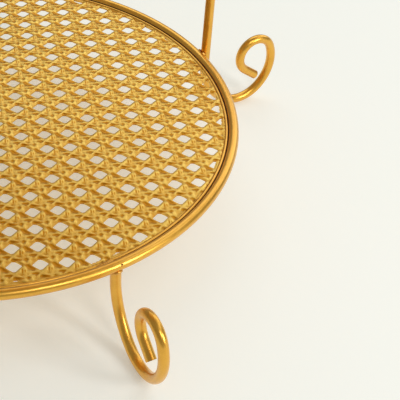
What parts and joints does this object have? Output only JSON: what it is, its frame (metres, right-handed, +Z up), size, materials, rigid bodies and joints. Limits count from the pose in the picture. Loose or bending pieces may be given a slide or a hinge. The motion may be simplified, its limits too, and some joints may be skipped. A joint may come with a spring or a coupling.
{
  "type": "tiered cake stand",
  "caption": "Tiered cake stand of bent rod with round pierced plates in a cane pattern, scroll feet, an arched frame and a ring handle.",
  "frame": {"origin": "on the table, under the middle of the stand", "axes": "+Z up; the two posts stand on the X axis; the front foot is near -Y"},
  "size_m": [0.4264, 0.4138, 0.454],
  "materials": {
    "plate": "satin gold paint on pressed steel sheet",
    "rod": "satin gold paint on steel rod",
    "weld": "satin gold paint on rough weld"
  },
  "bodies": {
    "root": {"lower_plate": "plate", "lower_ring": "rod", "lower_plate_tacks": "weld", "front_foot": "rod", "back_foot": "rod", "foot_welds": "weld", "left_post": "rod", "right_post": "rod", "lower_post_welds": "weld", "upper_plate": "plate", "upper_ring": "rod", "upper_plate_tacks": "weld", "upper_post_welds": "weld", "handle_ring": "rod", "handle_welds": "weld"}
  },
  "joints": []
}
